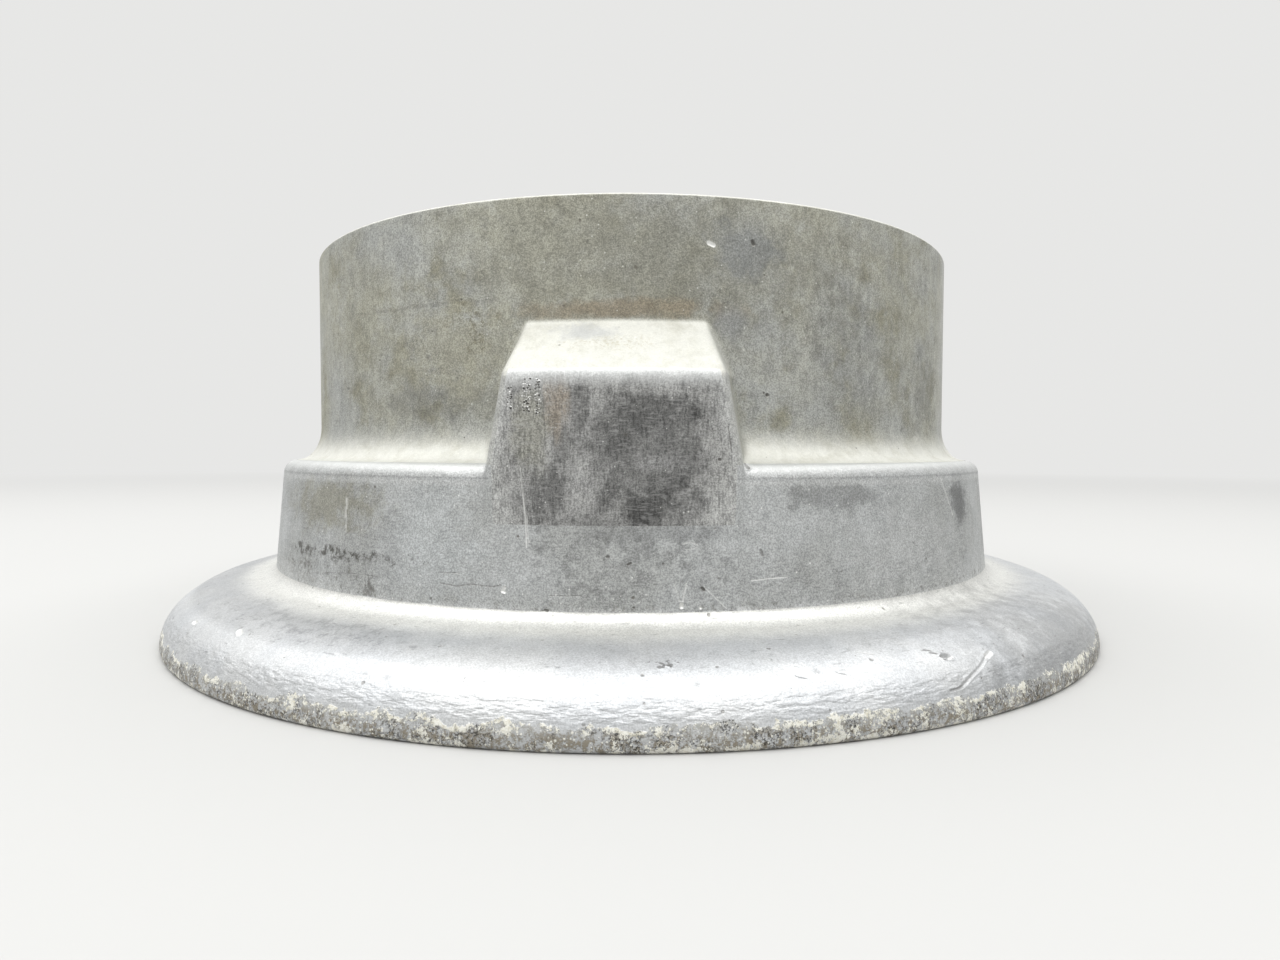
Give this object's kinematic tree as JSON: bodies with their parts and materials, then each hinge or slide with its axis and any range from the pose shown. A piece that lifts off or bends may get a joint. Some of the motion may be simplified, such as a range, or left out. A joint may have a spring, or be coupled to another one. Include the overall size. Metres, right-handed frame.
{
  "type": "aircraft wheel half",
  "caption": "Inner half of a split light-alloy aircraft wheel: rolled tyre flange, tapered bead seat, straight barrel with drafted drive bosses, bolted web and bearing hub.",
  "frame": {"origin": "centre of the flat ring under the tyre flange, on the wheel axis, with the half lying flange down", "axes": "+Z along the wheel axis from the flange to the split face; a drive boss stands on the -Y side"},
  "size_m": [0.1906, 0.1904, 0.0723],
  "materials": {
    "cast_alloy": "bare light alloy, dull satin with grey oxide, stains and worn edges",
    "bearing_steel": "ground bearing steel"
  },
  "bodies": {
    "root": {"wheel_half": "cast_alloy", "bearing_cup": "bearing_steel"}
  },
  "joints": []
}
